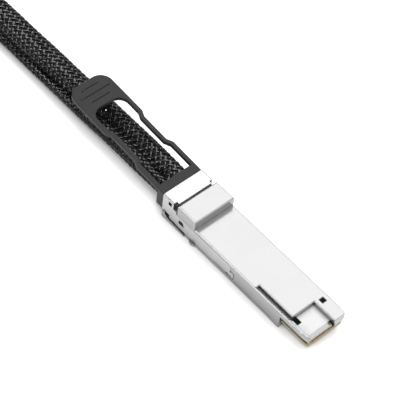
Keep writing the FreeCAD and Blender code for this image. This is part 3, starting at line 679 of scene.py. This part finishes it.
# braided cable
cableSet = {
    "route": (
        (-14.3, 0, 5.9), (-34, 0, 5.9), (-67, 0.9, 4), (-106, 0.9, 3.52), (-148, 0.2, 3.52),
        (-187, -21, 3.52), (-209.5, -59.5, 3.52), (-210, -104, 3.52), (-188.5, -143, 3.52),
        (-150, -165.3, 3.52), (-109, -167.6, 3.52), (-69, -167.2, 3.52), (-32, -167.4, 5.9),
        (-1.2, -167.4, 5.9),
    ),
    "length": 0.5,
    "step": 0.5,             # mm between the sleeve's rings
    "smoothings": 6,
    "offset": 3.4,           # half the spacing of the two cables inside
    "radius": 3.45,          # outside of the sleeve
    "strandRoom": 0.42,      # the strands' share of that radius
    "around": 128,           # points round the sleeve
    "slackAt": (0, 14, 34, 466, 486, 500),
    "slack": (0, 0, 1, 1, 0, 0),
    "spread": (0.40, 0.12),  # how much wider the slack sleeve lies, on its -y side and its +y side
    "crown": 0.35,           # how much its top rises in the middle and drops at the shoulders
    "bulgeAt": (0, 3, 12, 64, 90, 500),
    "bulge": (0, 0.15, 0.55, 0.35, 0.08, 0),     # how far one flank bellies out near the first shell
    "creaseAt": (0, 8, 22, 45, 62, 90, 160, 250, 340, 430, 480, 500),
    "creaseTurn": (0.02, 0.04, 0.0, 0.02, 0.13, 0.185, 0.17, 0.05, -0.1, 0.02, 0.0, 0.0),
    "deepAt": (0, 6, 14, 300, 486, 494, 500),
    "creaseDeep": (0, 0.3, 2.1, 2.1, 1.7, 0.3, 0),
    "creaseWidth": (0.042, 0.05),    # on top and underneath, in turns
    "creaseUnder": 0.7,      # the lower crease's share of the depth
    "lumps": 0.10,
    "lumpPaces": (0.21, 0.097),      # radians for each mm, like the other paces
    "lumpShift": 1.3,
    "carriers": 14,          # each way round
    "pitch": 2.59,           # along the cable, from one carrier to the next
    "ribbon": 1.26,          # width of a carrier's filaments
    "filament": 0.30,        # how far its middle filament stands proud of its edges
    "lift": 0.40,            # rise from under to over
    "wander": 0.05,          # how far a carrier strays sideways
    "wanderPaces": (0.15, 0.4),
    "sink": 0.02,            # and inwards, at most
    "roll": 0.10,            # how far a carrier leans over, as a slope
    "rollPaces": ((0.7, 1.0), (1.4, 2.1)),
    "ribbonRange": (0.94, 1.04),
    # a carrier's cross-section, in widths and in filament heights
    "across": (-0.5, -0.38, -0.25, -0.125, 0.0, 0.125, 0.25, 0.38, 0.5, 0.36, -0.36),
    "proud": (0.0, 0.66, 0.86, 0.82, 1.0, 0.82, 0.86, 0.66, 0.0, -0.6, -0.6),
    "stepsPerWave": 4.712,   # keeps every piece under 200,000 triangles
    "pieces": 3,
    "seed": 7,
}


def routeLine(points, resolution=24):
    curve = bpy.data.curves.new("route", "CURVE")
    curve.dimensions = "3D"
    spline = curve.splines.new("NURBS")
    spline.points.add(len(points) - 1)
    for at, p in zip(spline.points, points):
        at.co = (p[0] * mm, p[1] * mm, p[2] * mm, 1.0)
    spline.order_u = 3
    spline.use_endpoint_u = True
    spline.resolution_u = resolution
    holder = bpy.data.objects.new("route", curve)
    bpy.context.scene.collection.objects.link(holder)
    bpy.context.view_layer.update()
    graph = bpy.context.evaluated_depsgraph_get()
    mesh = bpy.data.meshes.new_from_object(holder.evaluated_get(graph))
    line = np.array([v.co for v in mesh.vertices], float)
    bpy.data.objects.remove(holder)
    bpy.data.meshes.remove(mesh)
    return line


def resampled(line, step, smoothings):
    # even spacing along the line, and how far along each point is
    lengths = np.r_[0, np.cumsum(np.linalg.norm(np.diff(line, axis=0), axis=1))]
    along = np.linspace(0, lengths[-1], int(round(lengths[-1] / step)) + 1)
    even = np.stack([np.interp(along, lengths, line[:, k]) for k in range(3)], 1)
    for _ in range(smoothings):
        even[1:-1] = 0.25 * even[:-2] + 0.5 * even[1:-1] + 0.25 * even[2:]
    return even, along


def sleeveOutline(s, count):
    # a stadium: two half circles joined by flats, starting at the top middle
    straight, arc = 2 * s["offset"], math.pi * s["radius"]
    around = np.arange(count) / count * 2 * (straight + arc)
    side, height = np.zeros(count), np.zeros(count)
    for i, a in enumerate(around):
        a = (a + straight / 2) % (2 * (straight + arc))     # from the far end of the top flat
        if a < straight:
            side[i], height[i] = a - straight / 2, s["radius"]
        elif a < straight + arc:
            t = (a - straight) / s["radius"]
            side[i], height[i] = s["offset"] + s["radius"] * math.sin(t), s["radius"] * math.cos(t)
        elif a < 2 * straight + arc:
            side[i], height[i] = straight / 2 - (a - straight - arc), -s["radius"]
        else:
            t = (a - 2 * straight - arc) / s["radius"]
            side[i], height[i] = -s["offset"] - s["radius"] * math.sin(t), -s["radius"] * math.cos(t)
    return side, height


def sleeveSurface(s, line, along):
    # grids of surface points and outward normals, one row for each point of the line
    tangent = np.gradient(line, axis=0)
    tangent /= np.linalg.norm(tangent, axis=1)[:, None]
    side = np.cross(np.array([0.0, 0.0, 1.0]), tangent)
    side /= np.linalg.norm(side, axis=1)[:, None]
    up = np.cross(tangent, side)
    a, b = sleeveOutline(s, s["around"])
    turn = np.arange(s["around"]) / s["around"]
    where = along / mm
    # the sleeve dips between the two cables, along a line that drifts round it
    crease = np.interp(where, s["creaseAt"], s["creaseTurn"])
    deep = np.interp(where, s["deepAt"], s["creaseDeep"])
    gap = (turn[None, :] - crease[:, None] + 0.5) % 1.0 - 0.5
    under = (turn[None, :] - crease[:, None]) % 1.0 - 0.5
    onTop, underneath = s["creaseWidth"]
    shape = np.exp(-(gap / onTop) ** 2) + s["creaseUnder"] * np.exp(-(under / underneath) ** 2)
    dent = deep[:, None] * shape * mm
    first, second = s["lumpPaces"]
    lumps = s["lumps"] * mm * (
        np.sin(where * first)[:, None] * np.sin(2 * np.pi * 2 * turn)[None, :]
        + np.sin(where * second + s["lumpShift"])[:, None] * np.cos(2 * np.pi * 3 * turn)[None, :] - 1)
    outX = np.gradient(np.r_[b[-1], b, b[0]])[1:-1]
    outY = -np.gradient(np.r_[a[-1], a, a[0]])[1:-1]
    size = np.hypot(outX, outY)
    outX, outY = -outX / size, -outY / size
    flip = np.sign(outX * a + outY * b)
    outX, outY = outX * flip, outY * flip
    normal = outX[None, :, None] * side[:, None, :] + outY[None, :, None] * up[:, None, :]
    slack = np.interp(where, s["slackAt"], s["slack"])
    bulge = np.interp(where, s["bulgeAt"], s["bulge"])
    one, other = np.clip(a / s["offset"], -1, 0), np.clip(a / s["offset"], 0, 1)
    wider = other * s["spread"][1] + one * s["spread"][0]
    crown = np.where(b > 0, s["crown"] * (1 - 2 * np.clip(a / s["offset"], -1, 1) ** 2), 0)
    b = b[None, :] + slack[:, None] * crown[None, :]
    a = a[None, :] + slack[:, None] * wider[None, :] + bulge[:, None] * one[None, :]
    place = line[:, None, :] + mm * (a[:, :, None] * side[:, None, :] + b[:, :, None] * up[:, None, :])
    place = place + normal * (lumps - dent)[:, :, None]
    alongGrid = np.gradient(place, axis=0)
    aroundGrid = np.roll(place, -1, 1) - np.roll(place, 1, 1)
    trueNormal = np.cross(aroundGrid, alongGrid)
    trueNormal /= np.linalg.norm(trueNormal, axis=2)[:, :, None]
    trueNormal *= np.sign((trueNormal * normal).sum(2))[:, :, None]
    return place, trueNormal


def quadMesh(name, points, quads):
    # large meshes straight from arrays
    mesh = bpy.data.meshes.new(name)
    mesh.vertices.add(len(points))
    mesh.vertices.foreach_set("co", np.asarray(points, np.float32).ravel())
    mesh.loops.add(quads.size)
    mesh.loops.foreach_set("vertex_index", quads.astype(np.int32).ravel())
    mesh.polygons.add(len(quads))
    mesh.polygons.foreach_set("loop_start", np.arange(0, quads.size, 4, dtype=np.int32))
    mesh.polygons.foreach_set("use_smooth", np.ones(len(quads), bool))
    mesh.update()
    mesh.validate()
    obj = bpy.data.objects.new(name, mesh)
    bpy.context.scene.collection.objects.link(obj)
    return obj


def tubeQuads(rows, columns):
    # faces of a grid that is closed round its columns
    i, j = np.meshgrid(np.arange(rows - 1), np.arange(columns), indexing="ij")
    k = (j + 1) % columns
    quads = np.stack([i * columns + j, i * columns + k, (i + 1) * columns + k, (i + 1) * columns + j], 2)
    return quads.reshape(-1, 4)


def gridMesh(name, grid):
    return quadMesh(name, grid.reshape(-1, 3), tubeQuads(*grid.shape[:2]))


def onGrid(grid, row, turn):
    # smooth lookup of the grid at fractional rows and turns
    rows, columns = grid.shape[:2]
    r0 = np.clip(np.floor(row).astype(int), 0, rows - 2)
    fr = (row - r0)[:, None]
    c = (turn % 1.0) * columns
    c0 = np.floor(c).astype(int) % columns
    c1, fc = (c0 + 1) % columns, (c - np.floor(c))[:, None]
    low = grid[r0, c0] * (1 - fc) + grid[r0, c1] * fc
    high = grid[r0 + 1, c0] * (1 - fc) + grid[r0 + 1, c1] * fc
    return low * (1 - fr) + high * fr


def braidStrands(s, place, normal, along):
    draw = np.random.default_rng(s["seed"])
    step = along[1] - along[0]
    total = along[-1]
    carriers, pitch = s["carriers"], s["pitch"] * mm
    lead = carriers * pitch                      # cable length of one whole turn
    anyPhase = (0, 6.28)                         # radians
    count = int(total / pitch * s["stepsPerWave"])
    across, proud = np.array(s["across"]), np.array(s["proud"])
    width = len(across)
    groups = [([], []) for _ in range(s["pieces"])]
    for way in (1, -1):
        for n in range(carriers):
            t = np.linspace(0, total, count)
            turn = n / carriers + way * t / lead
            wave = way * np.cos(2 * np.pi * t / pitch)      # over at every other crossing
            row = t / step
            centre, out = onGrid(place, row, turn), onGrid(normal, row, turn)
            out /= np.linalg.norm(out, axis=1)[:, None]
            run = np.gradient(centre, axis=0)
            run /= np.linalg.norm(run, axis=1)[:, None]
            wide = np.cross(run, out)
            wide /= np.linalg.norm(wide, axis=1)[:, None]
            wander = s["wander"] * mm * np.sin(t / mm * draw.uniform(*s["wanderPaces"]) + draw.uniform(*anyPhase))
            rise = (0.5 * s["lift"] * wave - 0.5 * s["lift"] - s["sink"] * draw.random()) * mm
            roll = sum(s["roll"] * np.sin(t / mm * draw.uniform(*pace) + draw.uniform(*anyPhase))
                       for pace in s["rollPaces"])
            ribbon = s["ribbon"] * mm * draw.uniform(*s["ribbonRange"])
            offset = across[None, :] * ribbon + wander[:, None]
            height = rise[:, None] + proud[None, :] * s["filament"] * mm + offset * roll[:, None]
            grid = (centre[:, None, :] + wide[:, None, :] * offset[:, :, None]
                    + out[:, None, :] * height[:, :, None])
            points, quads = groups[(n + (0 if way > 0 else 1)) % s["pieces"]]
            base = sum(len(p) for p in points)
            quads.append(base + tubeQuads(count, width))
            points.append(grid.reshape(-1, 3))
    return [quadMesh("braidStrands%d" % (number + 1), np.concatenate(points), np.concatenate(quads))
            for number, (points, quads) in enumerate(groups)]


line, along = resampled(routeLine(cableSet["route"]), cableSet["step"] * mm, cableSet["smoothings"])
place, normal = sleeveSurface(cableSet, line, along)
core = gridMesh("sleeveCore", place - normal * cableSet["strandRoom"] * mm)
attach(core, "root")
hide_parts("sleeved_cable")
core.data.materials.append(sleeveCore)
strands = braidStrands(cableSet, place - normal * 0.5 * cableSet["filament"] * mm, normal, along)
for piece in strands:
    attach(piece, "root")
    piece.data.materials.append(filament)

# return springs, each coiled to fill the box of its spring part
springSet = {
    "turns": 5,
    "wire": 0.24,
    "travel": 2.5,           # how far the slider closes it
    "stepsPerTurn": 36,
    "roundWire": 10,
    "tip": 0.05,             # the wire's thickness at its two ends, as a share
}


def coilSpring(s, name, low, high):
    steps = s["turns"] * s["stepsPerTurn"]
    number = np.linspace(0, s["turns"], steps + 1)
    wire = s["wire"] / 2 * mm
    room = high[0] - low[0] - 2 * wire
    # the end turns lie closed, as on a ground spring
    x = np.interp(number, [0, 1, s["turns"] - 1, s["turns"]], [0, 2 * wire, room - 2 * wire, room])
    thick = np.full(steps + 1, wire)
    thick[[0, -1]] *= s["tip"]
    around = np.arange(s["roundWire"]) / s["roundWire"] * 2 * np.pi
    reach = (high[1] - low[1]) / 2 - wire + thick[:, None] * np.cos(around)[None, :]
    grid = np.stack([
        low[0] + wire + x[:, None] + thick[:, None] * np.sin(around)[None, :],
        (low[1] + high[1]) / 2 + np.cos(2 * np.pi * number)[:, None] * reach,
        (low[2] + high[2]) / 2 + np.sin(2 * np.pi * number)[:, None] * reach], 2)
    return gridMesh(name, grid)


farPieces = [n for n in sorted(frame["nodes"]) if n.startswith("far_") and "spring" not in n]
for end in ("near", "far"):
    for hand in ("left", "right"):
        node = "%s_return_spring_%s" % (end, hand)
        low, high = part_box(node)
        spring = coilSpring(springSet, end + "Spring" + hand.title(), low, high)
        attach(spring, "root")
        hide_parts(node)
        spring.data.materials.append(finishes["spring_steel"])
        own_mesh(spring)
        if end == "far":
            farPieces.append(spring)

print("cable of %.1f mm, strands of %s triangles" % (
    along[-1] / mm, [len(p.data.polygons) * 2 for p in strands]))
